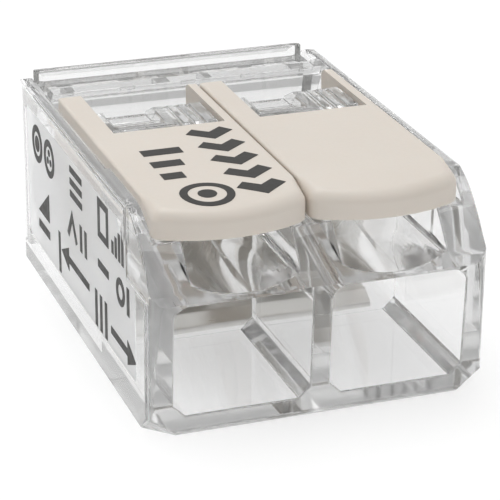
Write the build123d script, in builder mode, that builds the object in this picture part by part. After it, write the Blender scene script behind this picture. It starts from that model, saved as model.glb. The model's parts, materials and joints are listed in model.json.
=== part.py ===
from build123d import *
import os

os.makedirs("parts", exist_ok=True)

# Two-pole lever wire connector. X is the width, Y the depth and Z the height, in millimetres.
# The origin is the middle of the footprint on the resting face. The conductor entries face -Y.

# Driving sizes of the closed connector.
WIDTH = 13.1
DEPTH = 18.6
LEVER_TOP = 8.3
WALL_TOP = 8.05
FIT = 0.05

# Housing: clear front shell with two conductor entries.
BAY_HALF = 5.95
FLOOR = 0.6
CHAMBER_FRONT = -2.8
FRONT_FACE_TOP = 5.2
SHOULDER_START = -5.9
SHOULDER_RADIUS = 2.5
SHOULDER_TURN = 42
REAR_EDGE_RADIUS = 1.1
REAR_TOP_RADIUS = 1.3
FRONT_EDGE_RADIUS = 0.6
ENTRY_WIDTH = 5.22
ENTRY_X = 2.99
ENTRY_FLOOR = 0.75
ENTRY_CEILING = 5.1
ENTRY_CHAMFER = 0.45
ENTRY_RADIUS = 0.55
ROOF_TOP = 5.7
SHELF_TOP = 7.05
SHELF_REAR = -5.0
RECESS_INNER = 0.8
RECESS_OUTER = 4.9
SCOOP_RADIUS = 5.2
SCOOP_BOTTOM = 5.3
SCOOP_DIRECTION = (0, -1, -0.093)
FOOT_CUT_X = 1.35
FOOT_CUT_Y = 1.3
FOOT_CUT_Z = 1.1

# Levers: both have the same shape.
LEVER_WIDTH = 5.83
LEVER_LEFT_EDGE = {"left": -5.88, "right": 0.05}
PLATE_BOTTOM = 7.3
TIP_BOTTOM = 7.1
TIP_Y = -8.5
TIP_CORNER_Y = -7.75
TIP_CORNER_RADIUS = 0.45
TIP_EDGE_RADIUS = 0.4
TIP_LIP_Y = -6.85
ARM_REAR = 5.0
ARM_END_RADIUS = 0.4
WINDOW_FRONT = 0.1
WINDOW_SWEEP = 3.6
WIDE_ARM = 0.92
NARROW_ARM = 0.42
CHEEK_RADIUS = 1.95
NECK_FRONT = 0.4
NECK_REAR = 3.7

# Lever pivot, and the pegs in front of it that lift the springs.
PIVOT_Y = 1.9
PIVOT_Z = 4.8
STUB_RADIUS = 0.7
PEG_RADIUS = 0.3
PEG_Y = PIVOT_Y - 1.2
PEG_Z = PIVOT_Z - 0.9
PEG_REACH = 0.95

# Rear cover: closes the back, and carries the saddles that the levers turn on.
COVER_HALF = BAY_HALF - FIT
BACK_PLATE_Y = 8.2
BAR_CLEARANCE_RADIUS = 4.95
BAR_BOTTOM = 6.45
BAR_TOP = 8.2
BAR_GROOVE_Y = (6.45, 8.5)
BAR_GROOVE_DEPTH = 0.45
BAR_RIM_RADIUS = 0.6
COVER_CORNER_RADIUS = 0.7
SADDLE_FRONT = 0.3
SADDLE_FRONT_BOTTOM = 6.7
SADDLE_STEP_Y = 1.8
SADDLE_TOP = 8.12
SADDLE_FLAT = (0.85, 2.95)
SADDLE_FRONT_TOP = 7.8
SADDLE_REAR_TOP = (3.9, 7.65)
SADDLE_REAR_EDGE = (4.75, 6.75)
POCKET_X = (1.3, 3.35)
POCKET_Y = (1.15, 4.4)
POCKET_BOTTOM = 7.5
DECK_FRONT = 4.85
DECK_BOTTOM = 5.95
FLANGE_GAP = 0.07
FLANGE_THICKNESS = 0.4
FLANGE_HUB = 1.05
FLANGE_FRONT = 1.5
FLANGE_BOTTOM = 3.95
WEB_FRONT = 3.0
WEB_BOTTOM = 3.6
PROBE_SLOT_X = -0.3
PROBE_SLOT = (1.7, 4.95, 6.25)
LUG_Y = (7.3, 7.8)
LUG_Z = (2.8, 4.4)
LUG_PROUD = 0.15
POCKET_DEPTH = 0.25
LUG_ARM = 0.5

# Clamping unit: busbar shared by both poles, and one leaf spring for each.
BUSBAR_TOP = 1.2
BUSBAR_FRONT = -2.3
BUSBAR_RAMP = (0.6, 0.35)
TONGUE_Y = 3.5
TONGUE_REAR = 4.1
TONGUE_TOP = 5.9
TONGUE_BEND = 0.3
CLAMP_LEFT = 1.52
CLAMP_WIDTH = 3.3
STRIP = 0.3
TOP_LEG_Z = 5.65
TOP_LEG_WIDTH = 2.3
TOP_LEG_FRONT = -1.0
HOOK_BOTTOM = 5.0
HOOK_RADIUS = 0.25
BOW_RADIUS = 0.6
BOW_CORNER_Y = -3.6
CLAMP_EDGE_Y = 1.5
CLAMP_EDGE_Z = BUSBAR_TOP + 0.18
EAR_HALF = 0.65
EYE_RADIUS = PEG_RADIUS + 0.06

front_y = -DEPTH / 2
rear_y = DEPTH / 2
pivot = (PIVOT_Y, PIVOT_Z)
clamp_middle = CLAMP_LEFT + CLAMP_WIDTH / 2
window_left = WIDE_ARM
window_right = LEVER_WIDTH - NARROW_ARM
left_flange = window_left + FLANGE_GAP
right_flange = window_right - FLANGE_GAP - FLANGE_THICKNESS


def block(x_span, y_span, z_span, mode=Mode.ADD):
    """A box from its lowest to its highest value along each axis."""
    spans = (x_span, y_span, z_span)
    with Locations(tuple(sum(span) / 2 for span in spans)):
        Box(*[high - low for low, high in spans], mode=mode)


# Housing -------------------------------------------------------------------------------------
with BuildPart() as housing:
    # Side profile: level top, a tight shoulder, then a long slope to the front face.
    with BuildSketch(Plane.YZ.offset(-WIDTH / 2)) as side_view:
        with BuildLine():
            Polyline((front_y, 0), (rear_y, 0), (rear_y, WALL_TOP), (SHOULDER_START, WALL_TOP))
            shoulder = JernArc((SHOULDER_START, WALL_TOP), (-1, 0), SHOULDER_RADIUS, SHOULDER_TURN)
            TangentArc(shoulder @ 1, (front_y, FRONT_FACE_TOP), tangent=shoulder % 1)
            Line((front_y, FRONT_FACE_TOP), (front_y, 0))
        make_face()
        fillet(side_view.vertices().group_by(Axis.X)[-1].sort_by(Axis.Y)[-1], REAR_TOP_RADIUS)
    extrude(amount=WIDTH)
    # The upright edges are rounded, the rear ones more than the front ones.
    with BuildSketch() as plan_view:
        Rectangle(WIDTH, DEPTH)
        fillet(plan_view.vertices().group_by(Axis.Y)[-1], REAR_EDGE_RADIUS)
        fillet(plan_view.vertices().group_by(Axis.Y)[0], FRONT_EDGE_RADIUS)
    extrude(amount=LEVER_TOP, mode=Mode.INTERSECT)
    # Each lower front corner is cut off by one slanting facet.
    for side in (-1, 1):
        across = Vector(side * (WIDTH / 2 - FOOT_CUT_X), front_y, 0)
        back = Vector(side * WIDTH / 2, front_y + FOOT_CUT_Y, 0)
        up = Vector(side * WIDTH / 2, front_y, FOOT_CUT_Z)
        outward = (back - across).cross(up - across) * side
        split(bisect_by=Plane(origin=across, z_dir=outward), keep=Keep.BOTTOM)
    # Conductor entries: chamfered floor corners and rounded ceiling corners.
    for x in (-ENTRY_X, ENTRY_X):
        with BuildSketch(Plane.XZ.offset(-front_y)) as mouth:
            with Locations((x, (ENTRY_FLOOR + ENTRY_CEILING) / 2)):
                Rectangle(ENTRY_WIDTH, ENTRY_CEILING - ENTRY_FLOOR)
            chamfer(mouth.vertices().group_by(Axis.Y)[0], ENTRY_CHAMFER)
            fillet(mouth.vertices().group_by(Axis.Y)[-1], ENTRY_RADIUS)
        extrude(amount=front_y - CHAMBER_FRONT, mode=Mode.SUBTRACT)
    # Chamber for the clamping unit, open to the rear and to the top.
    bay = (-BAY_HALF, BAY_HALF)
    block(bay, (CHAMBER_FRONT, DEPTH), (FLOOR, DEPTH), Mode.SUBTRACT)
    # Bay that the lever plates lie in, and a finger recess under each lever tip.
    block(bay, (-DEPTH, CHAMBER_FRONT), (SHELF_TOP, DEPTH), Mode.SUBTRACT)
    block(bay, (SHELF_REAR, CHAMBER_FRONT), (ROOF_TOP, SHELF_TOP), Mode.SUBTRACT)
    for recess in ((-RECESS_OUTER, -RECESS_INNER), (RECESS_INNER, RECESS_OUTER)):
        block(recess, (-DEPTH, SHELF_REAR), (ROOF_TOP, SHELF_TOP), Mode.SUBTRACT)
        # The floor of the recess is scooped out, deepest at the front.
        scoop_x = sum(recess) / 2
        axis_z = SCOOP_BOTTOM + SCOOP_RADIUS
        with BuildSketch(Plane(origin=(scoop_x, front_y, axis_z), x_dir=(1, 0, 0), z_dir=SCOOP_DIRECTION)):
            Circle(SCOOP_RADIUS)
            Rectangle(recess[1] - recess[0], 2 * SCOOP_RADIUS, mode=Mode.INTERSECT)
        extrude(amount=SHELF_REAR - front_y, both=True, mode=Mode.SUBTRACT)
    # Blind pockets in the side walls for the snap lugs of the rear cover.
    pocket_y = (LUG_Y[0] - 0.1, LUG_Y[1] + 0.1)
    pocket_z = (LUG_Z[0] - 0.2, LUG_Z[1] + 0.2)
    pocket_half = BAY_HALF + POCKET_DEPTH
    block((-pocket_half, pocket_half), pocket_y, pocket_z, Mode.SUBTRACT)

housing.part.label = "housing"
export_step(housing.part, "parts/housing.step")

# Rear cover ----------------------------------------------------------------------------------
with BuildPart() as rear_cover:
    # Back plate and grooved top bar in one profile, hollowed in front around the lever pivot.
    with BuildSketch(Plane.YZ.offset(-COVER_HALF)) as bar_view:
        with BuildLine():
            Polyline(
                (BACK_PLATE_Y, BAR_BOTTOM),
                (BACK_PLATE_Y, FLOOR + FIT),
                (rear_y, FLOOR + FIT),
                (rear_y, BAR_TOP),
                (BAR_GROOVE_Y[1], BAR_TOP),
                (BAR_GROOVE_Y[1], BAR_TOP - BAR_GROOVE_DEPTH),
                (BAR_GROOVE_Y[0], BAR_TOP - BAR_GROOVE_DEPTH),
                (BAR_GROOVE_Y[0], BAR_TOP),
                (PIVOT_Y, BAR_TOP),
                (PIVOT_Y, BAR_BOTTOM),
                close=True,
            )
        make_face()
        fillet(bar_view.vertices().group_by(Axis.X)[-1].sort_by(Axis.Y)[-1], BAR_RIM_RADIUS)
        with Locations(pivot):
            Circle(BAR_CLEARANCE_RADIUS, mode=Mode.SUBTRACT)
    extrude(amount=2 * COVER_HALF)
    with BuildSketch() as cover_view:
        Rectangle(2 * COVER_HALF, DEPTH)
        fillet(cover_view.vertices().group_by(Axis.Y)[-1], COVER_CORNER_RADIUS)
    extrude(amount=LEVER_TOP, mode=Mode.INTERSECT)
    for lever_left in LEVER_LEFT_EDGE.values():
        # Saddle over the clamping unit: a faceted block that fills the window of the lever.
        roof_width = right_flange + FLANGE_THICKNESS - left_flange
        with BuildSketch(Plane.YZ.offset(lever_left + left_flange)):
            with BuildLine():
                Polyline(
                    (SADDLE_FRONT, SADDLE_FRONT_BOTTOM),
                    (SADDLE_FRONT, SADDLE_FRONT_TOP),
                    (SADDLE_FLAT[0], SADDLE_TOP),
                    (SADDLE_FLAT[1], SADDLE_TOP),
                    SADDLE_REAR_TOP,
                    SADDLE_REAR_EDGE,
                    (DECK_FRONT, BAR_BOTTOM),
                    (BACK_PLATE_Y, BAR_BOTTOM),
                    (BACK_PLATE_Y, DECK_BOTTOM),
                    (SADDLE_STEP_Y, DECK_BOTTOM),
                    (SADDLE_STEP_Y, SADDLE_FRONT_BOTTOM),
                    close=True,
                )
            make_face()
        extrude(amount=roof_width)
        # Shallow pocket in the top of the saddle.
        pocket_x = [lever_left + x for x in POCKET_X]
        block(pocket_x, POCKET_Y, (POCKET_BOTTOM, DEPTH), Mode.SUBTRACT)
        # Two flanges carry the roof and the pivot stubs, and run back to the back plate.
        for flange in (left_flange, right_flange):
            with BuildSketch(Plane.YZ.offset(lever_left + flange)):
                with BuildLine():
                    Polyline(
                        (FLANGE_FRONT, FLANGE_BOTTOM),
                        (FLANGE_FRONT, SADDLE_FRONT_BOTTOM + FIT),
                        (SADDLE_REAR_TOP[0], SADDLE_FRONT_BOTTOM + FIT),
                        (SADDLE_REAR_TOP[0], DECK_BOTTOM + FIT),
                        (BACK_PLATE_Y, DECK_BOTTOM + FIT),
                        (BACK_PLATE_Y, WEB_BOTTOM),
                        (WEB_FRONT, WEB_BOTTOM),
                        close=True,
                    )
                make_face()
                with Locations(pivot):
                    Circle(FLANGE_HUB)
            extrude(amount=FLANGE_THICKNESS)
        for low, high in ((FIT, left_flange), (right_flange, LEVER_WIDTH - FIT)):
            with BuildSketch(Plane.YZ.offset(lever_left + low)):
                with Locations(pivot):
                    Circle(STUB_RADIUS)
            extrude(amount=high - low)
        # Slot for a test probe, behind the saddle.
        slot_middle = lever_left + clamp_middle + PROBE_SLOT_X
        slot_x = (slot_middle - PROBE_SLOT[0] / 2, slot_middle + PROBE_SLOT[0] / 2)
        block(slot_x, PROBE_SLOT[1:], (DECK_BOTTOM, BAR_BOTTOM), Mode.SUBTRACT)
    # Snap lugs that enter the pockets of the housing, on short arms from the back plate.
    for side in (-1, 1):
        inner, outer = sorted((side * (COVER_HALF - LUG_ARM), side * COVER_HALF))
        block((inner, outer), (LUG_Y[0], BACK_PLATE_Y), LUG_Z)
        inner, outer = sorted((side * (COVER_HALF - LUG_ARM), side * (COVER_HALF + LUG_PROUD)))
        block((inner, outer), LUG_Y, LUG_Z)

rear_cover.part.label = "rear_cover"
export_step(rear_cover.part, "parts/rear_cover.step")

# Busbar --------------------------------------------------------------------------------------
with BuildPart() as busbar:
    # The flat bar under both poles, its front edge ramped for the conductors.
    busbar_left = LEVER_LEFT_EDGE["left"] + CLAMP_LEFT
    busbar_right = LEVER_LEFT_EDGE["right"] + CLAMP_LEFT + CLAMP_WIDTH
    with BuildSketch(Plane.YZ.offset(busbar_left)):
        with BuildLine():
            Polyline(
                (BUSBAR_FRONT, FLOOR),
                (TONGUE_REAR, FLOOR),
                (TONGUE_REAR, BUSBAR_TOP),
                (BUSBAR_FRONT + BUSBAR_RAMP[0], BUSBAR_TOP),
                (BUSBAR_FRONT, BUSBAR_TOP - BUSBAR_RAMP[1]),
                close=True,
            )
        make_face()
    extrude(amount=busbar_right - busbar_left)
    # One upright tongue for each pole, notched for the spring's top leg.
    for lever_left in LEVER_LEFT_EDGE.values():
        tongue_left = lever_left + CLAMP_LEFT
        block((tongue_left, tongue_left + CLAMP_WIDTH), (TONGUE_Y, TONGUE_REAR), (FLOOR, TONGUE_TOP))
        notch_half = TOP_LEG_WIDTH / 2 + FIT
        notch_x = (lever_left + clamp_middle - notch_half, lever_left + clamp_middle + notch_half)
        notch_z = (TOP_LEG_Z - STRIP / 2 - 0.02, LEVER_TOP)
        block(notch_x, (TONGUE_Y, TONGUE_REAR), notch_z, Mode.SUBTRACT)
    across = busbar.edges().filter_by(Axis.X)
    at_tongue = across.filter_by_position(Axis.Y, TONGUE_Y - FIT, TONGUE_Y + FIT)
    fillet(at_tongue.filter_by_position(Axis.Z, BUSBAR_TOP - FIT, BUSBAR_TOP + FIT), TONGUE_BEND)

busbar.part.label = "busbar"
export_step(busbar.part, "parts/busbar.step")

# Leaf springs --------------------------------------------------------------------------------
leg_fall = (TOP_LEG_Z - CLAMP_EDGE_Z) / (CLAMP_EDGE_Y - BOW_CORNER_Y)
hook_y = TONGUE_REAR + 0.2


def on_leg(y):
    """The point at this depth on the middle line of the clamping leg."""
    return (y, CLAMP_EDGE_Z + leg_fall * (CLAMP_EDGE_Y - y))


for side, lever_left in LEVER_LEFT_EDGE.items():
    strip_left = lever_left + CLAMP_LEFT
    strip_right = strip_left + CLAMP_WIDTH
    with BuildPart() as clamp_spring:
        # One bent strip: hook, top leg, bow and clamping leg.
        with BuildSketch(Plane.YZ.offset(strip_left)):
            with BuildLine():
                FilletPolyline(
                    (hook_y, HOOK_BOTTOM),
                    (hook_y, TOP_LEG_Z),
                    (BOW_CORNER_Y, TOP_LEG_Z),
                    (CLAMP_EDGE_Y, CLAMP_EDGE_Z),
                    radius=[HOOK_RADIUS, BOW_RADIUS],
                )
                offset(amount=STRIP / 2)
            make_face()
        extrude(amount=CLAMP_WIDTH)
        # The top leg is narrower than the clamping leg.
        trim = (CLAMP_WIDTH - TOP_LEG_WIDTH) / 2
        for trim_x in ((strip_left, strip_left + trim), (strip_right - trim, strip_right)):
            block(trim_x, (TOP_LEG_FRONT, DEPTH), (HOOK_BOTTOM - STRIP, TONGUE_TOP), Mode.SUBTRACT)
        # Ears bent up from the clamping leg, each with an eye for a lever peg.
        for ear_left in (strip_left, strip_right - STRIP):
            with BuildSketch(Plane.YZ.offset(ear_left)):
                with BuildLine():
                    Polyline(
                        (PEG_Y - EAR_HALF, PEG_Z),
                        on_leg(PEG_Y - EAR_HALF),
                        on_leg(PEG_Y + EAR_HALF),
                        (PEG_Y + EAR_HALF, PEG_Z),
                        close=True,
                    )
                make_face()
                with Locations((PEG_Y, PEG_Z)):
                    Circle(EAR_HALF)
                    Circle(EYE_RADIUS, mode=Mode.SUBTRACT)
            extrude(amount=STRIP)
    clamp_spring.part.label = "clamp_spring_" + side
    export_step(clamp_spring.part, "parts/clamp_spring_" + side + ".step")

# Levers --------------------------------------------------------------------------------------
for side, lever_left in LEVER_LEFT_EDGE.items():
    lever_right = lever_left + LEVER_WIDTH
    lever_middle = lever_left + LEVER_WIDTH / 2
    with BuildPart() as lever:
        # Plate with a bowed tip.
        with BuildSketch(Plane.XY.offset(TIP_BOTTOM)) as plan:
            with BuildLine():
                Polyline(
                    (lever_left, TIP_CORNER_Y),
                    (lever_left, ARM_REAR),
                    (lever_right, ARM_REAR),
                    (lever_right, TIP_CORNER_Y),
                )
                ThreePointArc(
                    (lever_right, TIP_CORNER_Y),
                    (lever_middle, TIP_Y),
                    (lever_left, TIP_CORNER_Y),
                )
            make_face()
            fillet(plan.vertices().group_by(Axis.Y)[0], TIP_CORNER_RADIUS)
        extrude(amount=LEVER_TOP - TIP_BOTTOM)
        top_edges = lever.edges().group_by(Axis.Z)[-1]
        fillet(top_edges.filter_by_position(Axis.Y, TIP_Y - 1, TIP_CORNER_Y + 0.5), TIP_EDGE_RADIUS)
        arm_ends = lever.edges().filter_by(Axis.X).group_by(Axis.Y)[-1]
        fillet(arm_ends.group_by(Axis.Z)[-1], ARM_END_RADIUS)
        # The plate is thinner behind the lip at the tip, and open between the arms.
        block((lever_left, lever_right), (TIP_LIP_Y, DEPTH), (TIP_BOTTOM, PLATE_BOTTOM), Mode.SUBTRACT)
        window = (lever_left + window_left, lever_left + window_right)
        block(window, (WINDOW_FRONT, DEPTH), (TIP_BOTTOM, LEVER_TOP), Mode.SUBTRACT)
        # The front edge of the window is undercut about the pivot, to swing clear of the saddle.
        with BuildSketch(Plane.YZ.offset(window[0])):
            with Locations(pivot):
                Circle(WINDOW_SWEEP)
        extrude(amount=window[1] - window[0], mode=Mode.SUBTRACT)
        # Cheeks: a round disc on the pivot and a neck up to the arm.
        for arm_left, arm_width in ((lever_left, WIDE_ARM), (lever_right - NARROW_ARM, NARROW_ARM)):
            with BuildSketch(Plane.YZ.offset(arm_left)):
                with Locations(pivot):
                    Circle(CHEEK_RADIUS)
                with BuildLine():
                    Polyline(
                        (PIVOT_Y - CHEEK_RADIUS, PIVOT_Z),
                        (NECK_FRONT, PLATE_BOTTOM + FIT),
                        (NECK_REAR, PLATE_BOTTOM + FIT),
                        (PIVOT_Y + CHEEK_RADIUS, PIVOT_Z),
                        close=True,
                    )
                make_face()
            extrude(amount=arm_width)
        # Bore for the pivot stubs.
        with BuildSketch(Plane.YZ.offset(lever_left)):
            with Locations(pivot):
                Circle(STUB_RADIUS + FIT)
        extrude(amount=LEVER_WIDTH, mode=Mode.SUBTRACT)
        # Pegs that reach inwards through the spring's eyes.
        for peg_left in (lever_left + window_left, lever_left + window_right - PEG_REACH):
            with BuildSketch(Plane.YZ.offset(peg_left)):
                with Locations((PEG_Y, PEG_Z)):
                    Circle(PEG_RADIUS)
            extrude(amount=PEG_REACH)
    lever.part.label = "lever_" + side
    export_step(lever.part, "parts/lever_" + side + ".step")
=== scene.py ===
import json
import math

import bmesh
import bpy
from mathutils import Matrix, Vector
from mathutils.geometry import intersect_line_line, intersect_point_line


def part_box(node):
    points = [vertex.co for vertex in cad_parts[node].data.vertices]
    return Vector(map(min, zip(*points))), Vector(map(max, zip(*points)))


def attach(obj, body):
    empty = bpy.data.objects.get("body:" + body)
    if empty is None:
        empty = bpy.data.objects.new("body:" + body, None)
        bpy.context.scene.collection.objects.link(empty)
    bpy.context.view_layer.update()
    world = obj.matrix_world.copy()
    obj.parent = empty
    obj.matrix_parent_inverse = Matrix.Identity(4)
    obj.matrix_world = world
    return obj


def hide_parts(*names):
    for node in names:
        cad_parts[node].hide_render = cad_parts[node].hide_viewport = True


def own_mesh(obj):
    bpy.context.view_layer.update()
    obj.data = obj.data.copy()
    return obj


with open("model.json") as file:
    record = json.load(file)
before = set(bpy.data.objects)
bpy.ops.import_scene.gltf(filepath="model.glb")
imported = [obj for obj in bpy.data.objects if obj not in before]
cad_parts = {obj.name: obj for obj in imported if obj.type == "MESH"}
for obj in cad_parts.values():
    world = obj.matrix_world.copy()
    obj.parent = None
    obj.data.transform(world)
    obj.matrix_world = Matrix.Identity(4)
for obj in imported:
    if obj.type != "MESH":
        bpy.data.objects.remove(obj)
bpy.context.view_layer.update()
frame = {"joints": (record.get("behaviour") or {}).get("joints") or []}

# Two-pole lever wire connector. Shapes are modelled in millimetres and scaled to metres at the end.
MM = 0.001
ROOT = "connector_body"


# Sizes taken from the frame ------------------------------------------------------------------
def box_mm(node):
    """Lowest and highest corner of a CAD node, in millimetres."""
    low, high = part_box(node)
    return low / MM, high / MM


shell_low, shell_high = box_mm("housing")
cover_low, cover_high = box_mm("rear_cover")
bar_low, bar_high = box_mm("busbar")
spring_low, spring_high = box_mm("clamp_spring_left")
lever_boxes = {side: box_mm("lever_" + side) for side in ("left", "right")}
PIVOT_Y, PIVOT_Z = (value / MM for value in frame["joints"][0]["pos_m"][1:])

HALF_WIDTH = shell_high.x
FRONT = shell_low.y
REAR = shell_high.y
WALL_TOP = shell_high.z
LEVER_TOP = lever_boxes["left"][1].z
LEVER_WIDTH = lever_boxes["left"][1].x - lever_boxes["left"][0].x
TIP = lever_boxes["left"][0].y
ARM_REAR = lever_boxes["left"][1].y
COVER_HALF = HALF_WIDTH - 0.65
COVER_BOTTOM = cover_low.z
BAY_HALF = HALF_WIDTH - 0.6
FLOOR = bar_low.z
BUSBAR_TOP = FLOOR + 0.6
# Air between metal and the plastic it rests on, thickness of the print, and the hairline between print marks.
AIR = 0.025
INK = 0.015
SEAM = 0.002
# An edge is rounded if it is this many roundings long and has this many beside it. Edges that leave it at less
# than SIDEWAYS degrees don't count as beside it. A face folds if its filling exceeds it by FOLD square millimetres.
SHORTEST = 1.6
SPREAD = 2.2
SIDEWAYS = 12
FOLD = 0.012

# Housing
FRONT_FACE_TOP = 5.2
CHAMBER_FRONT = -2.8
ENTRY_X = 2.99
ENTRY_HALF = 2.61
ENTRY_FLOOR = 0.75
ENTRY_CEILING = 5.1
ROOF_TOP = 5.7
SHELF_TOP = 7.05
SHELF_REAR = -5.0
RECESS_INNER = 0.8
RECESS_OUTER = 4.9

# Rear cover
BAR_TOP = cover_high.z
BAR_GROOVE = (6.45, 8.5)
BAR_CLEARANCE = 4.95
BACK_PLATE = 8.2
SADDLE_TOP = BAR_TOP - 0.08
LUG_Y = (7.3, 7.8)
LUG_Z = (2.8, 4.4)

# Levers, counted from the left edge of each
WIDE_ARM = 0.92
NARROW_ARM = 0.42
WINDOW_FRONT = 0.1
WINDOW_SWEEP = 3.6
PLATE_BOTTOM = LEVER_TOP - 1.0
TIP_BOTTOM = LEVER_TOP - 1.2
CHEEK_RADIUS = 1.95
PEG_OFFSET = (-1.2, -0.9)
CLAMP_LEFT = 1.52
CLAMP_WIDTH = 3.3


# Mesh tools ----------------------------------------------------------------------------------
def arc(centre, radius, start, stop, steps=12):
    """Points on an arc, angles in degrees."""
    points = []
    for i in range(steps + 1):
        angle = math.radians(start + (stop - start) * i / steps)
        points.append((centre[0] + radius * math.cos(angle), centre[1] + radius * math.sin(angle)))
    return points


def rounded(corners, steps=8):
    """Closed outline through (u, v, radius) corners, each corner turned into an arc of its radius."""
    outline = []
    count = len(corners)
    for i, (u, v, radius) in enumerate(corners):
        here = Vector((u, v))
        if radius == 0:
            outline.append(tuple(here))
            continue
        before = Vector(corners[i - 1][:2]) - here
        after = Vector(corners[(i + 1) % count][:2]) - here
        before.normalize()
        after.normalize()
        half = before.angle(after) / 2
        centre = here + (before + after).normalized() * (radius / math.sin(half))
        reach = radius / math.tan(half)
        start = here + before * reach - centre
        end = here + after * reach - centre
        turn = start.angle_signed(end)
        first = math.atan2(start.y, start.x)
        for step in range(steps + 1):
            angle = first - turn * step / steps
            outline.append((centre.x + radius * math.cos(angle), centre.y + radius * math.sin(angle)))
    return outline


def lift(u, v, w, axis):
    """Outline point (u, v) at height w along an axis: X takes (y, z), Y takes (x, z), Z takes (x, y)."""
    return {"X": (w, u, v), "Y": (u, w, v), "Z": (u, v, w)}[axis]


def new_piece(name, bm):
    """An object in the scene made from a bmesh, which is freed."""
    bmesh.ops.recalc_face_normals(bm, faces=bm.faces)
    mesh = bpy.data.meshes.new(name)
    bm.to_mesh(mesh)
    bm.free()
    piece = bpy.data.objects.new(name, mesh)
    bpy.context.scene.collection.objects.link(piece)
    return piece


def discard(piece):
    """Removes an object and its mesh."""
    mesh = piece.data
    bpy.data.objects.remove(piece)
    bpy.data.meshes.remove(mesh)


def prism(outline, axis, low, high, name="tool"):
    """A closed solid: an outline swept straight along an axis."""
    bm = bmesh.new()
    bottom = [bm.verts.new(lift(u, v, low, axis)) for u, v in outline]
    top = [bm.verts.new(lift(u, v, high, axis)) for u, v in outline]
    bm.faces.new(bottom)
    bm.faces.new(list(reversed(top)))
    count = len(outline)
    for i in range(count):
        j = (i + 1) % count
        bm.faces.new((bottom[i], top[i], top[j], bottom[j]))
    return new_piece(name, bm)


def block(x_span, y_span, z_span, radius=0.0, axis="Z"):
    """A box, or with a radius a box whose edges along one axis are rounded."""
    spans = {"X": (y_span, z_span, x_span), "Y": (x_span, z_span, y_span), "Z": (x_span, y_span, z_span)}
    (u0, u1), (v0, v1), (w0, w1) = spans[axis]
    outline = rounded([(u0, v0, radius), (u1, v0, radius), (u1, v1, radius), (u0, v1, radius)])
    return prism(outline, axis, w0, w1)


def slab(outline, bottom, top, bottom_radius, top_radius, steps=6):
    """A plate over an outline in plan, its rim rounded. The radii are functions of the plan position."""
    count = len(outline)
    inward = []
    for i in range(count):
        along = Vector(outline[(i + 1) % count]) - Vector(outline[i - 1])
        along.normalize()
        inward.append(Vector((-along.y, along.x)))
    rings = []
    for k in range(steps + 1):
        turn = math.pi / 2 * k / steps
        rings.append((bottom_radius, 1 - math.sin(turn), 1 - math.cos(turn), bottom))
    for k in range(steps + 1):
        turn = math.pi / 2 * k / steps
        rings.append((top_radius, 1 - math.cos(turn), math.sin(turn) - 1, top))
    bm = bmesh.new()
    loops = []
    for radius, inset, rise, level in rings:
        loop = []
        for point, normal in zip(outline, inward):
            size = radius(*point)
            spot = Vector(point) + normal * (size * inset)
            loop.append(bm.verts.new((spot.x, spot.y, level + size * rise)))
        loops.append(loop)
    for lower, upper in zip(loops, loops[1:]):
        for i in range(count):
            j = (i + 1) % count
            bm.faces.new((lower[i], lower[j], upper[j], upper[i]))
    bm.faces.new(list(reversed(loops[0])))
    bm.faces.new(loops[-1])
    return new_piece("slab", bm)


def rod(x_span, y, z, radius, steps=40):
    """A round bar along X."""
    return prism(arc((y, z), radius, 0, 360 * (1 - 1 / steps), steps - 1), "X", *x_span)


def stroke(path, width):
    """Outline of a line of this width along an open path."""
    left, right = [], []
    for i, point in enumerate(path):
        here = Vector(point)
        before = here - Vector(path[max(i - 1, 0)])
        after = Vector(path[min(i + 1, len(path) - 1)]) - here
        before = before.normalized() if before.length else after.normalized()
        after = after.normalized() if after.length else before
        along = (before + after).normalized()
        across = Vector((-along.y, along.x)) * (width / 2 / max(along.dot(after), 0.5))
        left.append(tuple(here + across))
        right.append(tuple(here - across))
    return left + right[::-1]


def stamp(name, outlines, axis, low, high):
    """Many separate flat marks in one mesh."""
    bm = bmesh.new()
    for outline in outlines:
        part = prism(outline, axis, low, high)
        bm.from_mesh(part.data)
        discard(part)
    return new_piece(name, bm)


def bake(piece):
    """Applies the modifiers of a piece to its mesh."""
    graph = bpy.context.evaluated_depsgraph_get()
    mesh = bpy.data.meshes.new_from_object(piece.evaluated_get(graph))
    old = piece.data
    piece.modifiers.clear()
    piece.data = mesh
    bpy.data.meshes.remove(old)
    return piece


def combine(piece, operation, tools):
    """Applies a boolean with each tool in turn, and discards the tools."""
    for tool in tools:
        modifier = piece.modifiers.new("combine", "BOOLEAN")
        modifier.operation = operation
        modifier.solver = "EXACT"
        modifier.object = tool
        bake(piece)
        discard(tool)
    return piece


def cut(piece, *tools):
    return combine(piece, "DIFFERENCE", tools)


def join(piece, *tools):
    return combine(piece, "UNION", tools)


def keep_within(piece, *tools):
    return combine(piece, "INTERSECT", tools)


def slice_off(piece, point, normal):
    """Cuts away what lies beyond a plane and closes the cut."""
    bm = bmesh.new()
    bm.from_mesh(piece.data)
    everything = bm.verts[:] + bm.edges[:] + bm.faces[:]
    found = bmesh.ops.bisect_plane(bm, geom=everything, plane_co=point, plane_no=normal, clear_outer=True)
    rim = [item for item in found["geom_cut"] if isinstance(item, bmesh.types.BMEdge)]
    bmesh.ops.contextual_create(bm, geom=rim)
    bmesh.ops.recalc_face_normals(bm, faces=bm.faces)
    bm.to_mesh(piece.data)
    bm.free()
    return piece


def room_beside(edge):
    """Length of the shortest edge that leaves this one sideways: how far a rounding can spread."""
    along = (edge.verts[1].co - edge.verts[0].co).normalized()
    shortest = math.inf
    for vertex in edge.verts:
        for other in vertex.link_edges:
            if other is edge or not set(other.link_faces) & set(edge.link_faces):
                continue
            side = (other.other_vert(vertex).co - vertex.co).normalized()
            if abs(side.dot(along)) < math.cos(math.radians(SIDEWAYS)):
                shortest = min(shortest, other.calc_length())
    return shortest


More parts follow.
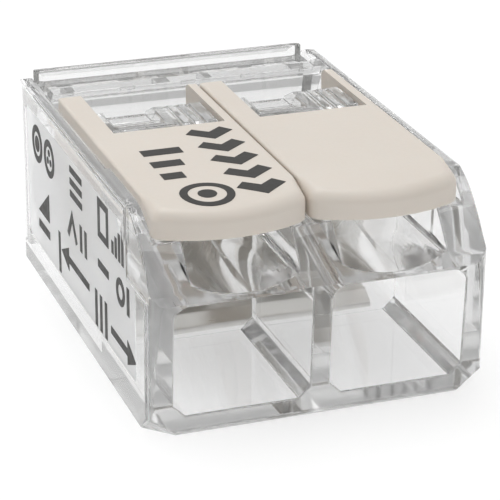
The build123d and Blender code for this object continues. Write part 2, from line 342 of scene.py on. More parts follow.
def within(point, start, end):
    """True if a point of the line lies between the ends, not at them."""
    along = (point - start).dot(end - start)
    return 1e-6 < along < (end - start).length_squared - 1e-6


def near(point, edge, reach):
    """True if a point lies within reach of an edge."""
    start, end = (vert.co for vert in edge.verts)
    share = intersect_point_line(point, start, end)[1]
    spot = start.lerp(end, min(max(share, 0.0), 1.0))
    return (point - spot).length < reach


def folds(mesh):
    """Points where the outline of a face crosses itself, so that the face would fold over when filled.

    A folded face whose outline isn't found to cross gives all its corners."""
    mesh.calc_loop_triangles()
    filled = [0.0] * len(mesh.polygons)
    for triangle in mesh.loop_triangles:
        filled[triangle.polygon_index] += triangle.area
    points = []
    for face in mesh.polygons:
        if filled[face.index] < face.area + FOLD:
            continue
        ring = [mesh.vertices[index].co for index in face.vertices]
        sides = list(zip(ring, ring[1:] + ring[:1]))
        found = False
        for first, (start, end) in enumerate(sides):
            for other_start, other_end in sides[first + 2:]:
                pair = intersect_line_line(start, end, other_start, other_end)
                if pair is None or (pair[0] - pair[1]).length > 0.02:
                    continue
                if within(pair[0], start, end) and within(pair[1], other_start, other_end):
                    points.append(pair[0].copy())
                    found = True
        if not found:
            points.extend(corner.copy() for corner in ring)
    return points


def soften(piece, width, segments=3, angle=28):
    """Rounds the sharp edges slightly and sets smooth normals that keep the flat faces flat.

    Edges with too little room are left sharp. After each try, so are the edges near a fold."""
    bm = bmesh.new()
    bm.from_mesh(piece.data)
    bmesh.ops.remove_doubles(bm, verts=bm.verts, dist=0.002)
    bmesh.ops.dissolve_limit(bm, angle_limit=math.radians(0.5), verts=bm.verts, edges=bm.edges)
    weight = bm.edges.layers.float.new("bevel_weight_edge")
    for edge in bm.edges:
        sharp = edge.calc_face_angle() > math.radians(angle)
        if sharp and edge.calc_length() > SHORTEST * width and room_beside(edge) > SPREAD * width:
            edge[weight] = 1.0
    plain = piece.data.copy()
    bm.to_mesh(plain)
    for _ in range(3):
        piece.data = plain.copy()
        bevel = piece.modifiers.new("bevel", "BEVEL")
        bevel.width = width
        bevel.segments = segments
        bevel.limit_method = "WEIGHT"
        bevel.use_clamp_overlap = False
        bake(piece)
        crossings = folds(piece.data)
        if not crossings:
            break
        for edge in bm.edges:
            if edge[weight] and any(near(point, edge, 2 * width) for point in crossings):
                edge[weight] = 0.0
        bm.to_mesh(plain)
    bm.free()
    bpy.data.meshes.remove(plain)
    piece.data.shade_smooth()
    piece.data.set_sharp_from_angle(angle=math.radians(48))
    weigh_normals(piece)
    return keep_flat(piece)


def weigh_normals(piece):
    """Lets the large faces decide the normals that they share with the roundings."""
    weigh = piece.modifiers.new("weigh", "WEIGHTED_NORMAL")
    weigh.keep_sharp = True
    return bake(piece)


def keep_flat(piece):
    """Sets a hard border around each large flat face whose shading still bends at its corners."""
    mesh = piece.data
    hard = set()
    for face in mesh.polygons:
        normals = [mesh.corner_normals[corner].vector for corner in face.loop_indices]
        if face.area > 2 and max(normal.angle(face.normal, 0) for normal in normals) > 0.03:
            hard.update(face.edge_keys)
    for edge in mesh.edges:
        if edge.key in hard:
            edge.use_edge_sharp = True
    if hard:
        weigh_normals(piece)
    return piece


def deliver(piece, name, material, body, replaced=()):
    """Scales a finished piece to metres, names it, paints it and lets it ride on its body."""
    piece.name = name
    piece.data.name = name
    piece.data.transform(Matrix.Scale(MM, 4))
    piece.data.materials.clear()
    piece.data.materials.append(material)
    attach(piece, body)
    if replaced:
        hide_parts(*replaced)
    return piece


# Materials -----------------------------------------------------------------------------------
class Nodes:
    """A short way to build a material's node tree."""

    def __init__(self, name):
        self.material = bpy.data.materials.new(name)
        self.material.use_nodes = True
        self.tree = self.material.node_tree
        self.shader = self.tree.nodes["Principled BSDF"]
        self.place = self.add("ShaderNodeTexCoord").outputs["Object"]

    def add(self, kind, **values):
        node = self.tree.nodes.new(kind)
        for key, value in values.items():
            if key.startswith("in_"):
                self.feed(node.inputs[key[3:].replace("_", " ")], value)
            else:
                setattr(node, key, value)
        return node

    def feed(self, socket, value):
        if isinstance(value, bpy.types.NodeSocket):
            self.tree.links.new(value, socket)
        else:
            socket.default_value = value

    def noise(self, scale, detail=3.0, stretch=(1, 1, 1)):
        """Noise in object space. Scale counts features per metre."""
        mapping = self.add("ShaderNodeMapping", in_Vector=self.place, in_Scale=stretch)
        noise = self.add("ShaderNodeTexNoise", in_Vector=mapping.outputs[0], in_Scale=scale, in_Detail=detail)
        return noise.outputs[0]

    def ramp(self, value, low, high, start=0.3, stop=0.7):
        """Maps a value from start..stop to low..high: numbers or colours."""
        if isinstance(low, tuple):
            node = self.add("ShaderNodeValToRGB", in_Fac=value)
            first, last = node.color_ramp.elements
            first.position, last.position = start, stop
            first.color, last.color = (*low, 1), (*high, 1)
            return node.outputs[0]
        node = self.add("ShaderNodeMapRange", in_Value=value, in_From_Min=start, in_From_Max=stop)
        self.feed(node.inputs["To Min"], low)
        self.feed(node.inputs["To Max"], high)
        return node.outputs[0]

    def bump(self, height, strength, distance):
        node = self.add("ShaderNodeBump", in_Height=height, in_Strength=strength, in_Distance=distance)
        self.feed(self.shader.inputs["Normal"], node.outputs[0])

    def set(self, **values):
        for key, value in values.items():
            self.feed(self.shader.inputs[key.replace("_", " ")], value)


def clear_plastic(name, haze, density, frosted_beyond=None):
    """Clear polycarbonate: faint flow ripples from moulding, and a little haze. Lamps shine through it.

    Faces further out than frosted_beyond, inside the print field, are textured matt and milky."""
    nodes = Nodes(name)
    ripples = nodes.noise(260, 2, (1, 0.35, 1))
    grain = nodes.noise(5200, 3)
    roughness = nodes.ramp(grain, 0.03, 0.06)
    clear = 1.0 - haze
    if frosted_beyond:
        split = nodes.add("ShaderNodeSeparateXYZ", in_Vector=nodes.place)
        distance = nodes.add("ShaderNodeMath", operation="MULTIPLY", in_Value=split.outputs["X"])
        distance.inputs[1].default_value = -1
        distance = distance.outputs[0]
        low, high = frosted_beyond
        inside = nodes.ramp(distance, 0.0, 1.0, low - 0.000004, low + 0.000004)
        outside = nodes.ramp(distance, 1.0, 0.0, high - 0.000004, high + 0.000004)
        field = nodes.add("ShaderNodeMath", operation="MULTIPLY")
        nodes.feed(field.inputs[0], inside)
        nodes.feed(field.inputs[1], outside)
        roughness = nodes.ramp(field.outputs[0], roughness, 0.45, 0, 1)
        clear = nodes.ramp(field.outputs[0], clear, 0.6, 0, 1)
    nodes.set(
        Base_Color=nodes.ramp(grain, (0.985, 0.987, 0.988), (0.995, 0.997, 1.0)),
        Roughness=roughness,
        IOR=1.5,
        Transmission_Weight=clear,
    )
    nodes.bump(ripples, 0.25, 0.00004)
    body = nodes.add("ShaderNodeVolumeAbsorption", in_Color=(0.5, 0.5, 0.49, 1), in_Density=density)
    nodes.feed(nodes.tree.nodes["Material Output"].inputs["Volume"], body.outputs[0])
    through = nodes.add("ShaderNodeBsdfTransparent", in_Color=(0.97, 0.97, 0.97, 1))
    lamps = nodes.add("ShaderNodeLightPath").outputs["Is Shadow Ray"]
    mix = nodes.add("ShaderNodeMixShader", in_Fac=lamps)
    nodes.feed(mix.inputs[1], nodes.shader.outputs[0])
    nodes.feed(mix.inputs[2], through.outputs[0])
    nodes.feed(nodes.tree.nodes["Material Output"].inputs["Surface"], mix.outputs[0])
    return nodes.material


def lever_plastic():
    """Warm beige moulded plastic with a fine satin grain."""
    nodes = Nodes("beige_moulded_plastic")
    cloud = nodes.noise(180, 3)
    grain = nodes.noise(9000, 4)
    nodes.set(
        Base_Color=nodes.ramp(cloud, (0.705, 0.645, 0.575), (0.735, 0.675, 0.605)),
        Roughness=nodes.ramp(grain, 0.34, 0.50),
        Subsurface_Weight=0.08,
        Subsurface_Radius=(0.0006, 0.0004, 0.0003),
        Subsurface_Scale=1.0,
    )
    nodes.bump(grain, 0.25, 0.000012)
    return nodes.material


def tinned_copper():
    """Matt tin plating with the soft streaks of rolled strip."""
    nodes = Nodes("tin_plated_copper")
    streaks = nodes.noise(900, 4, (0.15, 1, 1))
    patches = nodes.noise(400, 3)
    nodes.set(
        Base_Color=nodes.ramp(patches, (0.78, 0.77, 0.75), (0.88, 0.87, 0.85)),
        Metallic=1.0,
        Roughness=nodes.ramp(streaks, 0.24, 0.42),
    )
    nodes.bump(streaks, 0.3, 0.00001)
    return nodes.material


def spring_steel():
    """Stainless spring strip, brushed along its length."""
    nodes = Nodes("stainless_spring_strip")
    brushing = nodes.noise(7000, 4, (1, 0.04, 0.04))
    patches = nodes.noise(500, 2)
    nodes.set(
        Base_Color=nodes.ramp(patches, (0.76, 0.76, 0.75), (0.86, 0.86, 0.85)),
        Metallic=1.0,
        Roughness=nodes.ramp(brushing, 0.18, 0.36),
    )
    nodes.bump(brushing, 0.35, 0.000006)
    return nodes.material


def printing_ink():
    """Dark grey pad-printed ink, slightly uneven."""
    nodes = Nodes("dark_print_ink")
    mottle = nodes.noise(3500, 3)
    nodes.set(
        Base_Color=nodes.ramp(mottle, (0.020, 0.019, 0.017), (0.045, 0.043, 0.039)),
        Roughness=nodes.ramp(mottle, 0.45, 0.7),
    )
    nodes.bump(mottle, 0.2, 0.000004)
    return nodes.material


FIELD_DEPTH = 0.06
CLEAR = clear_plastic("clear_polycarbonate", 0.02, 160)
FIELD_FACE = HALF_WIDTH - FIELD_DEPTH
FIELD_SPAN = ((FIELD_FACE - 0.012) * MM, (FIELD_FACE + 0.012) * MM)
SHELL = clear_plastic("clear_polycarbonate_printed", 0.02, 50, FIELD_SPAN)
BEIGE = lever_plastic()
TIN = tinned_copper()
STEEL = spring_steel()
PRINT = printing_ink()


# Housing -------------------------------------------------------------------------------------
def side_outline():
    """Side view of the housing: level top, tight shoulder, long slope to the front face."""
    shoulder = arc((-5.9, WALL_TOP - 2.5), 2.5, 90, 132, 10)
    start = Vector(shoulder[-1])
    end = Vector((FRONT, FRONT_FACE_TOP))
    chord = end - start
    turn = 2 * (math.atan2(-chord.y, -chord.x) - math.radians(42))
    radius = chord.length / (2 * math.sin(turn / 2))
    first = math.degrees(math.pi / 2 + math.radians(42))
    centre = start - Vector((math.cos(math.radians(first)), math.sin(math.radians(first)))) * radius
    slope = arc(centre, radius, first, first + math.degrees(turn), 8)
    base = rounded([(FRONT, 0, 0.12), (REAR, 0, 0.15), (REAR, WALL_TOP, 1.3), (0, WALL_TOP, 0)])
    return base + shoulder + slope[1:]


def bay_section():
    """Front view of the bay: straight walls whose top edges are rounded away from the levers."""
    radius = 0.25
    edge = arc((BAY_HALF + radius, WALL_TOP - radius), radius, 180, 90, 5)
    mirrored = [(-x, z) for x, z in reversed(edge)]
    reach = BAY_HALF + radius
    return [(-BAY_HALF, FLOOR), (BAY_HALF, FLOOR)] + edge + [(reach, 9), (-reach, 9)] + mirrored


def build_housing():
    """Clear front shell: floor, side walls, two entries, the bay, the recesses, and the print field."""
    shell = prism(side_outline(), "X", -HALF_WIDTH, HALF_WIDTH)
    plan = rounded([
        (-HALF_WIDTH, FRONT, 0.6), (HALF_WIDTH, FRONT, 0.6),
        (HALF_WIDTH, REAR, 1.1), (-HALF_WIDTH, REAR, 1.1),
    ])
    face = rounded([
        (-HALF_WIDTH, 0, 0.15), (HALF_WIDTH, 0, 0.15),
        (HALF_WIDTH, WALL_TOP, 0.28), (-HALF_WIDTH, WALL_TOP, 0.28),
    ])
    keep_within(shell, prism(plan, "Z", -1, 9), prism(face, "Y", FRONT - 1, REAR + 1))
    for side in (-1, 1):
        slice_off(shell, (side * 5.2, FRONT, 0), (side * 1.43, -1.485, -1.755))
        # The wall beside the levers stands back from the front frame by a hair.
        inset = (HALF_WIDTH - 0.1, HALF_WIDTH + 1)
        if side < 0:
            inset = (-inset[1], -inset[0])
        cut(shell, block(inset, (FRONT - 1, -6.4), (FRONT_FACE_TOP + 0.02, 9)))
    for x in (-ENTRY_X, ENTRY_X):
        low, high = x - ENTRY_HALF, x + ENTRY_HALF
        corner = 0.45
        mouth = [
            (low, ENTRY_FLOOR + corner, 0), (low + corner, ENTRY_FLOOR, 0), (high - corner, ENTRY_FLOOR, 0),
            (high, ENTRY_FLOOR + corner, 0), (high, ENTRY_CEILING, 0.55), (low, ENTRY_CEILING, 0.55),
        ]
        cut(shell, prism(rounded(mouth), "Y", FRONT - 1, CHAMBER_FRONT + 0.1))
    bay = (-BAY_HALF, BAY_HALF)
    cut(shell, prism(bay_section(), "Y", CHAMBER_FRONT, REAR + 1))
    cut(shell, block(bay, (FRONT - 1, CHAMBER_FRONT + 0.1), (SHELF_TOP, 9)))
    cut(shell, block(bay, (SHELF_REAR, CHAMBER_FRONT + 0.1), (ROOF_TOP, SHELF_TOP + 0.1)))
    for low, high in ((-RECESS_OUTER, -RECESS_INNER), (RECESS_INNER, RECESS_OUTER)):
        cut(shell, block((low, high), (FRONT - 1, SHELF_REAR + 0.1), (ROOF_TOP, SHELF_TOP + 1), 0.2, "Y"))
        # The floor of the recess is scooped out, deepest at the front.
        half = (high - low) / 2
        spread = math.degrees(math.asin(half / 5.2))
        outline = arc(((low + high) / 2, 10.5), 5.2, 270 - spread, 270 + spread, 24) + [(high, 6), (low, 6)]
        scoop = prism(outline, "Y", FRONT - 1, SHELF_REAR)
        for vertex in scoop.data.vertices:
            vertex.co.z += (vertex.co.y - FRONT) * 0.093
        cut(shell, scoop)
    # Blind pockets for the snap lugs of the rear cover.
    pocket_half = BAY_HALF + 0.25
    pocket_y = (LUG_Y[0] - 0.1, LUG_Y[1] + 0.1)
    cut(shell, block((-pocket_half, pocket_half), pocket_y, (LUG_Z[0] - 0.2, LUG_Z[1] + 0.2)))
    # Shallow print field on the left side wall.
    field = rounded([
        (7.6, 1.55, 0.4), (7.6, 7.25, 0.4), (-5.55, 7.25, 0.6), (-7.7, 5.3, 0.5), (-7.7, 1.55, 0.4),
    ])
    cut(shell, prism(field, "X", -HALF_WIDTH - 1, -HALF_WIDTH + FIELD_DEPTH))
    soften(shell, 0.06)
    return deliver(shell, "housing_shell", SHELL, ROOT, ["housing"])


# Rear cover ----------------------------------------------------------------------------------
def bar_outline():
    """Side view of the back plate and the grooved top bar, hollowed around the lever pivot."""
    top = math.degrees(math.asin((BAR_TOP - PIVOT_Z) / BAR_CLEARANCE))
    bottom = math.degrees(math.asin((6.45 - PIVOT_Z) / BAR_CLEARANCE))
    hollow = arc((PIVOT_Y, PIVOT_Z), BAR_CLEARANCE, top, bottom, 8)
    rim = arc((REAR - 0.6, BAR_TOP - 0.6), 0.6, 0, 90, 5)
    front, rear = BAR_GROOVE
    groove = BAR_TOP - 0.45
    return hollow + [(BACK_PLATE, 6.45), (BACK_PLATE, COVER_BOTTOM), (REAR, COVER_BOTTOM)] + rim + [
        (rear, BAR_TOP), (rear, groove), (front, groove), (front, BAR_TOP),
    ]


def saddle_outline():
    """Side view of a saddle: a faceted block that fills the window of the lever, and the deck behind it."""
    return [
        (0.3, 6.7), (0.3, 7.8), (0.85, SADDLE_TOP), (2.95, SADDLE_TOP), (3.9, 7.65), (4.75, 6.75),
        (4.85, 6.45), (8.3, 6.45), (8.3, 5.95), (1.8, 5.95), (1.8, 6.7),
    ]


def build_cover():
    """Clear rear cover: back plate, grooved bar, and for each pole a saddle on two flanges with pivot stubs."""
    cover = prism(bar_outline(), "X", -COVER_HALF, COVER_HALF)
    plan = rounded([
        (-COVER_HALF, 0, 0), (COVER_HALF, 0, 0), (COVER_HALF, REAR, 0.7), (-COVER_HALF, REAR, 0.7),
    ], 5)
    keep_within(cover, prism(plan, "Z", 0, 9))
    for low, high in lever_boxes.values():
        left = low.x
        join(cover, prism(saddle_outline(), "X", left + 0.99, left + 5.34))
        for flange in (left + 0.99, left + 4.94):
            side_view = rounded([
                (1.5, 3.95, 0.3), (3.0, 3.6, 0), (8.3, 3.6, 0), (8.3, 6.0, 0), (3.9, 6.0, 0),
                (3.9, 6.75, 0), (1.5, 6.75, 0),
            ])
            join(cover, prism(side_view, "X", flange, flange + 0.4))
            join(cover, rod((flange, flange + 0.4), PIVOT_Y, PIVOT_Z, 1.05))
        join(cover, rod((left + 0.05, left + 1.2), PIVOT_Y, PIVOT_Z, 0.7))
        join(cover, rod((left + 5.1, left + LEVER_WIDTH - 0.05), PIVOT_Y, PIVOT_Z, 0.7))
        # Probe slot behind the saddle, and the stepped pocket and ridges moulded into its top.
        slot = left + CLAMP_LEFT + CLAMP_WIDTH / 2 - 0.3
        cut(cover, block((slot - 0.85, slot + 0.85), (4.95, 6.25), (5.5, 6.6), 0.15))
        for front, bottom in ((1.15, 7.86), (1.5, 7.74), (2.3, 7.62), (2.8, 7.5)):
            cut(cover, block((left + 1.3, left + 3.35), (front, 4.4), (bottom, 9), 0.2))
        for ridge in range(3):
            x = left + 3.75 + 0.45 * ridge
            cut(cover, block((x, x + 0.22), (0.0, 3.2), (SADDLE_TOP - 0.17, 9)))
    # Notches along the front edge of the bar's groove.
    notch_y = (BAR_GROOVE[0] - 0.15, BAR_GROOVE[0] + 0.1)
    for place in (-5.2, -2.6, 0, 2.6, 5.2):
        cut(cover, block((place - 0.3, place + 0.3), notch_y, (BAR_TOP - 0.12, 9)))
    # Snap lugs on short arms from the back plate.
    for side in (-1, 1):
        inner, face, tip = COVER_HALF - 0.5, COVER_HALF, COVER_HALF + 0.15
        join(cover, block(sorted((side * inner, side * face)), (LUG_Y[0], BACK_PLATE + 0.1), LUG_Z))
        join(cover, block(sorted((side * inner, side * tip)), LUG_Y, LUG_Z))
    soften(cover, 0.04)
    return deliver(cover, "rear_cover_clear", CLEAR, ROOT, ["rear_cover"])


# Clamping unit -------------------------------------------------------------------------------
def build_busbar():
    """Tinned busbar under both poles, with an upright tongue behind each."""
    side_view = [
        (bar_low.y, FLOOR + AIR), (bar_high.y, FLOOR + AIR), (bar_high.y, BUSBAR_TOP),
        (bar_low.y + 0.6, BUSBAR_TOP), (bar_low.y, BUSBAR_TOP - 0.35),
    ]
    busbar = prism(side_view, "X", bar_low.x, bar_high.x)
    for low, high in lever_boxes.values():
        left = low.x + CLAMP_LEFT
        middle = left + CLAMP_WIDTH / 2
        join(busbar, block((left, left + CLAMP_WIDTH), (3.5, bar_high.y), (FLOOR + 0.1, bar_high.z)))
        cut(busbar, block((middle - 1.2, middle + 1.2), (3, 5), (5.48, 7)))
    soften(busbar, 0.06)
    return deliver(busbar, "busbar_tinned", TIN, ROOT, ["busbar"])


def build_spring(side, lever_left):
    """Leaf spring of one pole: top strip, bow, clamping leg, and the two ears that the lever's pegs lift."""
    top = 5.65
    edge_y, edge_z = 1.5, BUSBAR_TOP + 0.2
    fall = math.atan2(top - edge_z, edge_y + 3.6)
    bow = 0.6
    reach = bow / math.tan(fall / 2)
    bow_centre = (-3.6 + reach, top - bow)
    turn = 180 - math.degrees(fall)
    path = [(4.3, 5.02), (4.3, 5.25)] + arc((4.05, top - 0.25), 0.25, 0, 90, 5)
    path += [(0.5, top)] + arc(bow_centre, bow, 90, 90 + turn, 16) + [(edge_y, edge_z)]
    left = lever_left + CLAMP_LEFT
    right = left + CLAMP_WIDTH
    spring = prism(stroke(path, 0.29), "X", left, right)
    trim = 0.5
    for x_span in ((left - 1, left + trim), (right - trim, right + 1)):
        cut(spring, block(x_span, (-1.0, 6), (4.7, 6)))
    peg = (PIVOT_Y + PEG_OFFSET[0], PIVOT_Z + PEG_OFFSET[1])
    slope = math.tan(fall)
    for ear in (left, right - 0.3):
        low_front = (peg[0] - 0.65, edge_z + slope * (edge_y - peg[0] + 0.65))
        low_rear = (peg[0] + 0.65, edge_z + slope * (edge_y - peg[0] - 0.65))
        plate = prism([low_front, low_rear] + arc(peg, 0.65, 0, 180, 16), "X", ear, ear + 0.3)
        join(spring, plate)
    cut(spring, rod((left - 1, right + 1), peg[0], peg[1], 0.37))
    soften(spring, 0.04, 2)
    piece = deliver(spring, "leaf_spring_" + side, STEEL, ROOT, ["clamp_spring_" + side])
    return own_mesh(piece)


# Levers --------------------------------------------------------------------------------------
def lever_plan(left, right):
    """Plan outline of a lever, counter-clockwise: a bowed tip with rounded corners, and a square rear."""
    middle = (left + right) / 2
    bow = 0.75
    half = LEVER_WIDTH / 2
    radius = (half**2 + bow**2) / (2 * bow)
    centre = (middle, TIP + radius)
    # Each corner arc touches the side and the bow from inside.
    small, large = 0.5, 0.75
    drop = math.sqrt((radius - small) ** 2 - (half - small) ** 2)
    lean = math.degrees(math.atan2(half - small, drop))
    plan = arc((left + small, centre[1] - drop), small, 180, 270 - lean, 8)
    start = 270 - lean
    drop = math.sqrt((radius - large) ** 2 - (half - large) ** 2)
    lean = math.degrees(math.atan2(half - large, drop))
    plan += arc(centre, radius, start, 270 + lean, 24)[1:]
    plan += arc((right - large, centre[1] - drop), large, 270 + lean, 360, 10)[1:]
    along = (-7.0, -6.2, -3, 0, 3)
    plan += [(right, y) for y in along]
    plan += arc((right - 0.3, ARM_REAR - 0.3), 0.3, 0, 90, 5)
    plan += arc((left + 0.3, ARM_REAR - 0.3), 0.3, 90, 180, 5)
    plan += [(left, y) for y in reversed(along)]
    return plan


def rim_radius(x, y):
    """The rim is rolled round the tip and nearly square along the sides."""
    blend = min(max((y + 7.3) / 1.1, 0), 1)
    return 0.5 + (0.13 - 0.5) * blend


def droop(lever):
    """The top of the plate curves down a little towards the tip."""
    bm = bmesh.new()
    bm.from_mesh(lever.data)
    for i in range(11):
        everything = bm.verts[:] + bm.edges[:] + bm.faces[:]
        bmesh.ops.bisect_plane(bm, geom=everything, plane_co=(0, -6.4 - 0.2 * i, 0), plane_no=(0, 1, 0))
    for vertex in bm.verts:
        share = max(0, (vertex.co.z - TIP_BOTTOM) / (LEVER_TOP - TIP_BOTTOM))
        vertex.co.z -= 0.2 * (max(0, -6.4 - vertex.co.y) / 2.1) ** 2 * share
    bm.to_mesh(lever.data)
    bm.free()


def build_lever(side):
    """Both levers are the same shape, built in the place of the left one and moved across."""
    left, right = lever_boxes["left"][0].x, lever_boxes["left"][1].x
    lever = slab(lever_plan(left, right), TIP_BOTTOM, LEVER_TOP - INK, lambda x, y: 0.1, rim_radius)
    droop(lever)
    cut(lever, block((left - 1, right + 1), (-6.85, ARM_REAR + 1), (TIP_BOTTOM - 1, PLATE_BOTTOM)))
    end = rounded([
        (TIP - 1, 0, 0), (ARM_REAR, 0, 0), (ARM_REAR, LEVER_TOP, 0.4), (TIP - 1, LEVER_TOP + 0.001, 0),
    ])
    keep_within(lever, prism(end, "X", left - 1, right + 1))
    window = (left + WIDE_ARM, right - NARROW_ARM)
    cut(lever, block(window, (WINDOW_FRONT, ARM_REAR + 1), (TIP_BOTTOM - 1, LEVER_TOP + 1)))
    cut(lever, rod(window, PIVOT_Y, PIVOT_Z, WINDOW_SWEEP, 96))
    for arm in ((left, left + WIDE_ARM), (right - NARROW_ARM, right)):
        neck = [
            (PIVOT_Y - CHEEK_RADIUS, PIVOT_Z), (PIVOT_Y + CHEEK_RADIUS, PIVOT_Z),
            (3.7, PLATE_BOTTOM + 0.1), (0.4, PLATE_BOTTOM + 0.1),
        ]
        join(lever, prism(neck, "X", *arm), rod(arm, PIVOT_Y, PIVOT_Z, CHEEK_RADIUS, 64))
    peg = (PIVOT_Y + PEG_OFFSET[0], PIVOT_Z + PEG_OFFSET[1])
    join(lever, rod((window[0] - 0.2, window[0] + 0.95), *peg, 0.3, 24))
    join(lever, rod((window[1] - 0.95, window[1] + 0.2), *peg, 0.3, 24))
    cut(lever, rod((left - 1, right + 1), PIVOT_Y, PIVOT_Z, 0.75))
    # Grip ribs under the tip.
    for row in range(4):
        y = -7.75 + 0.3 * row
        cut(lever, block((left + 0.8, right - 0.8), (y, y + 0.12), (TIP_BOTTOM - 1, TIP_BOTTOM + 0.08)))
    soften(lever, 0.05)
    lever.data.transform(Matrix.Translation((lever_boxes[side][0].x - left, 0, 0)))
    return deliver(lever, "lever_plate_" + side, BEIGE, "lever_" + side, ["lever_" + side])


# Printing ------------------------------------------------------------------------------------
def disc(centre, radius):
    """A round mark."""
    return arc(centre, radius, 0, 350, 35)


def ring(centre, radius, width):
    """A ring as two half rings with a hairline between them."""
    halves = []
    for start in (0.1, 180.1):
        outer = arc(centre, radius + width / 2, start, start + 179.8, 18)
        halves.append(outer + arc(centre, radius - width / 2, start, start + 179.8, 18)[::-1])
    return halves


def bar(u, v, length, height):
    """A rectangular mark, its lowest corner at (u, v)."""
    return [(u, v), (u + length, v), (u + length, v + height), (u, v + height)]


def box(u, v, width, height, thickness):
    """An open box as four bars with hairlines between them."""
    inner = height - 2 * (thickness + SEAM)
    side = v + thickness + SEAM
    return [
        bar(u, v, width, thickness), bar(u, v + height - thickness, width, thickness),
        bar(u, side, thickness, inner), bar(u + width - thickness, side, thickness, inner),
    ]


def arrow(tip, tail, v):
    """An arrow mark along u, as one outline."""
    turn = 1 if tail > tip else -1
    neck = tip + 1.1 * turn
    head, shaft = 0.5 * turn, 0.15 * turn
    return [
        (tip, v), (neck, v - head), (neck, v - shaft), (tail, v - shaft),
        (tail, v + shaft), (neck, v + shaft), (neck, v + head),
    ]


def chevron(u, v, width, length, thickness):
    """An arrow mark that points along +v, its point at (u, v)."""
    return stroke([(u - width / 2, v - length), (u, v), (u + width / 2, v - length)], thickness)


def side_marks():
    """Marks of the side wall as (distance from the gauge's stop line towards the front, height)."""
    marks = []
    # Strip length gauge: stop line, two arrows that point outwards, and scale ticks between them.
    marks.append(bar(-0.12, 1.65, 0.28, 1.75))
    marks.append(arrow(0.3, 4.3, 2.75))
    for u in (5.1, 5.75, 6.4):
        marks.append(bar(u, 1.6, 0.3, 1.5))
    marks.append(arrow(10.4, 7.2, 2.3))
    # Conductor kinds: solid, and stranded.
    marks += ring((-3.15, 6.0), 0.65, 0.28)
    marks.append(disc((-3.15, 6.0), 0.34))
    marks += ring((-1.3, 6.0), 0.65, 0.28)
    for turn in range(3):
        angle = math.radians(90 + 120 * turn)
        marks.append(disc((-1.3 + 0.24 * math.cos(angle), 6.0 + 0.24 * math.sin(angle)), 0.15))
    # Top row: stacked bars, a box with a bar, and a rising scale.
    for row in range(3):
        marks.append(bar(1.8, 5.6 + 0.5 * row, 1.7, 0.27))
    marks += box(5.66, 5.46, 1.38, 1.58, 0.28)
    for step in range(4):
        marks.append(bar(7.45 + 0.42 * step, 5.5, 0.26, 0.5 + 0.3 * step))
    # Second row, and a wedge over a bar for the lever.
    marks.append(stroke([(1.4, 3.85), (2.0, 4.8), (2.6, 3.85)], 0.27))
    marks.append(bar(3.1, 3.8, 0.3, 1.1))
    marks.append(bar(3.75, 3.8, 0.3, 1.1))
    marks.append(bar(5.6, 4.2, 1.4, 0.32))
    marks += ring((8.5, 4.35), 0.42, 0.26)
    marks.append(bar(9.3, 3.8, 0.3, 1.1))
    marks.append([(-3.2, 3.15), (-1.5, 3.15), (-1.5, 4.4)])
    marks.append(bar(-3.2, 2.4, 1.7, 0.35))
    return marks


def build_side_print():
    """The side wall's marks, laid on the floor of the print field."""
    stop = PIVOT_Y + 0.9
    outlines = [[(stop - u, v) for u, v in outline] for outline in side_marks()]
    piece = stamp("print_side", outlines, "X", -FIELD_FACE - INK, -FIELD_FACE - 0.001)
    deliver(piece, "print_side", PRINT, ROOT)


def build_lever_print():
    """Marks on the left lever: a row of chevrons towards the tip, a rising scale and a ring with a dot."""
    left = lever_boxes["left"][0].x
    marks = []
    for place in range(5):
        outline = chevron(0, 0, 1.5, 0.6, 0.6)
        marks.append([(left + 4.4 + u, -1.3 - 1.45 * place - v) for u, v in outline])
    for place, width in enumerate((1.55, 1.2, 0.85)):
        marks.append(bar(left + 1.25, -2.7 - 1.25 * place, width, 0.6))
    marks += ring((left + 2.3, -6.9), 0.85, 0.3)
    marks.append(disc((left + 2.3, -6.9), 0.35))
    piece = stamp("print_lever", marks, "Z", LEVER_TOP - INK - 0.005, LEVER_TOP)
    droop(piece)
    deliver(piece, "print_lever", PRINT, "lever_left")


build_side_print()
build_lever_print()
build_housing()
build_cover()
build_busbar()
for side, (low, high) in lever_boxes.items():
    build_spring(side, low.x)
    build_lever(side)


# Studio --------------------------------------------------------------------------------------
def build_floor():
    """Plain pale floor."""
    bm = bmesh.new()
    bmesh.ops.create_grid(bm, x_segments=1, y_segments=1, size=0.6)
    floor = new_piece("studio_floor", bm)
    floor.location.z = -0.00002
    nodes = Nodes("studio_floor")
    nodes.set(Base_Color=(0.42, 0.42, 0.42, 1), Roughness=0.6, Emission_Color=(1, 1, 1, 1), Emission_Strength=0.6)
    floor.data.materials.append(nodes.material)


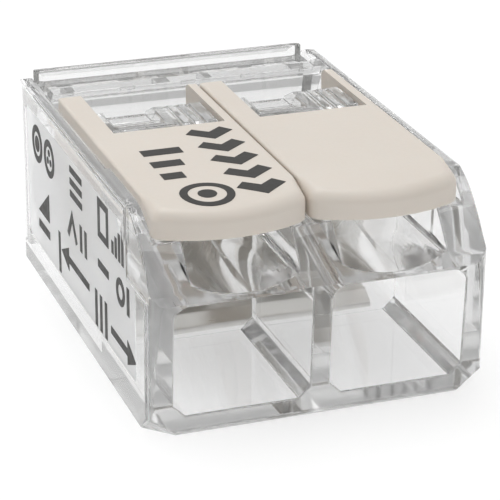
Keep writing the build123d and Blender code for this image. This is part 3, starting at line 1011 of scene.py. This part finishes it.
def add_light(name, place, size, power):
    """A rectangular soft light that faces the origin."""
    data = bpy.data.lights.new(name, "AREA")
    data.shape = "RECTANGLE"
    data.size, data.size_y = size
    data.energy = power
    light = bpy.data.objects.new(name, data)
    light.location = place
    light.rotation_euler = (-Vector(place)).to_track_quat("-Z", "Y").to_euler()
    bpy.context.scene.collection.objects.link(light)


def build_world():
    """Soft room light: brighter behind and to the right of the object, dimmer on the camera's side."""
    world = bpy.data.worlds.new("studio")
    bpy.context.scene.world = world
    world.use_nodes = True
    tree = world.node_tree
    background = tree.nodes["Background"]
    place = tree.nodes.new("ShaderNodeTexCoord")
    dot = tree.nodes.new("ShaderNodeVectorMath")
    dot.operation = "DOT_PRODUCT"
    dot.inputs[1].default_value = Vector((0.5, 0.8, 0.35)).normalized()
    spread = tree.nodes.new("ShaderNodeMapRange")
    spread.inputs["From Min"].default_value = -1
    spread.inputs["From Max"].default_value = 1
    spread.inputs["To Min"].default_value = 0.4
    spread.inputs["To Max"].default_value = 0.62
    tree.links.new(place.outputs["Generated"], dot.inputs[0])
    tree.links.new(dot.outputs["Value"], spread.inputs["Value"])
    tree.links.new(spread.outputs[0], background.inputs["Strength"])
    background.inputs["Color"].default_value = (1, 1, 1, 1)


def build_camera():
    """Camera at the front left, a little above, rolled slightly."""
    data = bpy.data.cameras.new("camera")
    data.lens = 155.27
    data.sensor_width = 36
    data.clip_start = 0.005
    data.clip_end = 5
    camera = bpy.data.objects.new("camera", data)
    bpy.context.scene.collection.objects.link(camera)
    camera.location = Vector((-26.479, -74.196, 36.361)) * MM
    aim = Vector((0.56, 0, 2.75)) * MM
    turn = (aim - camera.location).to_track_quat("-Z", "Y").to_matrix()
    roll = Matrix.Rotation(math.radians(0.48), 3, "Z")
    camera.rotation_euler = (turn @ roll).to_euler()
    bpy.context.scene.camera = camera


build_floor()
build_world()
build_camera()
add_light("key", (-0.05, 0.1, 0.4), (0.3, 0.3), 0.95)
add_light("front_edges", (0.124, -0.148, 0.34), (0.1, 0.1), 0.06)
add_light("wall_edges", (-0.15, 0.35, 0.12), (0.3, 0.05), 0.06)
bpy.context.scene.view_settings.view_transform = "Standard"
cycles = bpy.context.scene.cycles
cycles.max_bounces = 48
cycles.transmission_bounces = 48
cycles.transparent_max_bounces = 32
cycles.glossy_bounces = 48
